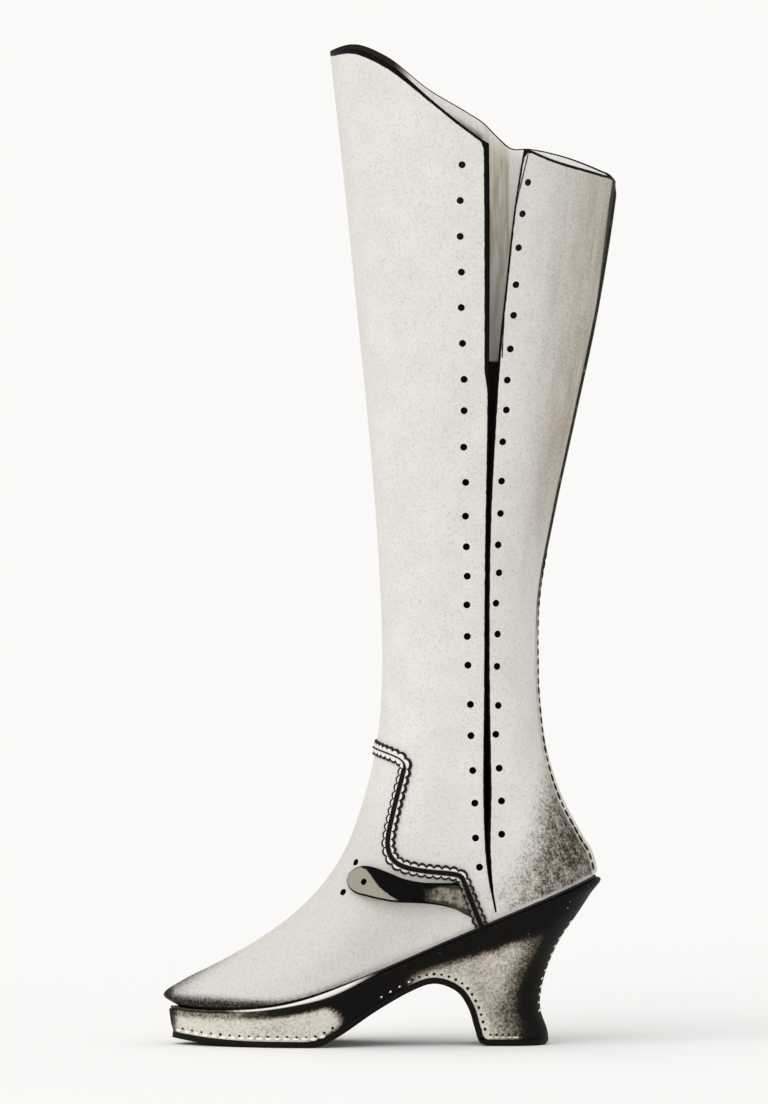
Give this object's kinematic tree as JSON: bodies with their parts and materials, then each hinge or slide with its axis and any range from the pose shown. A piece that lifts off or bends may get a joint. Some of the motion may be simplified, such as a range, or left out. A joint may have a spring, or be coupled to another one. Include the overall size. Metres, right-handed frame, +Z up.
{
  "type": "buskin",
  "caption": "Tall side-opening boot of pale leather with punched lacing holes, a pinked and braided seam, a loose latchet, a raised platform sole and a waisted heel.",
  "frame": {"origin": "middle of the bounding box on the floor plane", "axes": "-X towards the toe, -Y towards the side that opens, +Z up the leg"},
  "size_m": [0.2545, 0.1261, 0.5582],
  "materials": {
    "upper_leather": "fine matt grain, rubbed with grey at heel, toe and back of the leg",
    "insole_leather": "matt",
    "rand_leather": "matt",
    "block_leather": "satin, shaded from pale at the platform to near black at the waist",
    "outsole_leather": "waxed edge",
    "top_piece_leather": "waxed edge",
    "trim_leather": "matt",
    "braid": "matt woven braid",
    "strip_leather": "matt",
    "latchet_leather": "matt, darkened where it turns under"
  },
  "bodies": {
    "root": {"upper": "upper_leather", "insole": "insole_leather", "rand": "rand_leather", "sole_block": "block_leather", "outsole": "outsole_leather", "heel_top_piece": "top_piece_leather", "seam_trim": "trim_leather", "seam_braid": "braid", "back_strip": "strip_leather", "latchet": "latchet_leather"}
  },
  "joints": []
}
